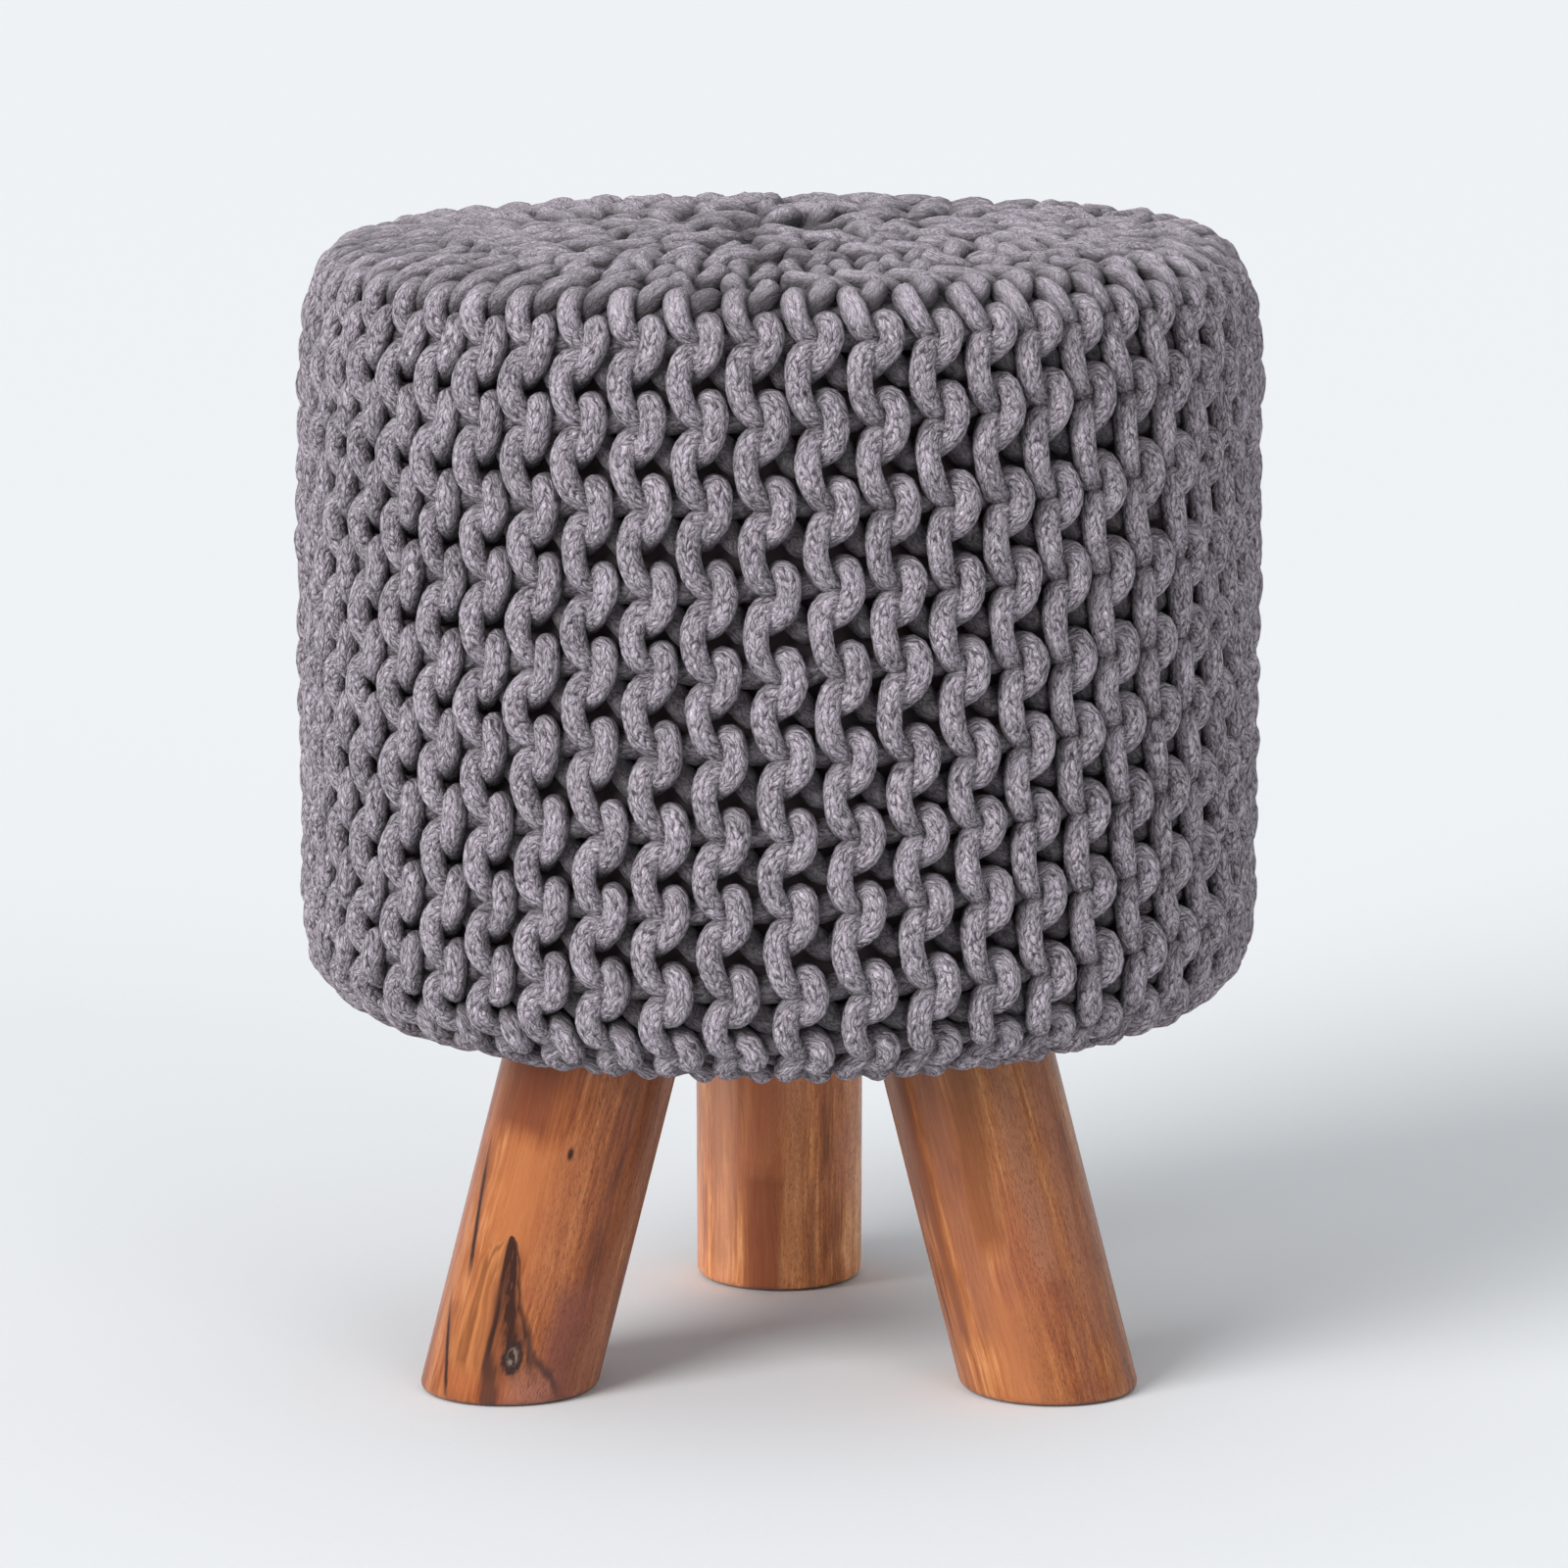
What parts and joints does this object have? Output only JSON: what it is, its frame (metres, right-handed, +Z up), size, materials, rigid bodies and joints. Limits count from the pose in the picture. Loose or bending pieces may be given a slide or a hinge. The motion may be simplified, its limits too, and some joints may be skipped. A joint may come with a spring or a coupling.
{
  "type": "knitted pouf stool",
  "caption": "Round upright pouf in a chunky knitted cord cover, standing on short splayed round wooden legs.",
  "frame": {"origin": "on the floor under the middle of the seat", "axes": "+Z up; -Y towards the front, where two of the legs stand; +X to the right seen from the front"},
  "size_m": [0.35, 0.3496, 0.417],
  "materials": {
    "cotton_cord": "matt braided cotton cord, mid grey with a slight purple cast",
    "lacquered_wood": "warm orange-brown hardwood under a satin clear lacquer"
  },
  "bodies": {
    "root": {"knitted_cover": "cotton_cord", "leg_back": "lacquered_wood", "leg_front_left": "lacquered_wood", "leg_front_right": "lacquered_wood"}
  },
  "joints": []
}
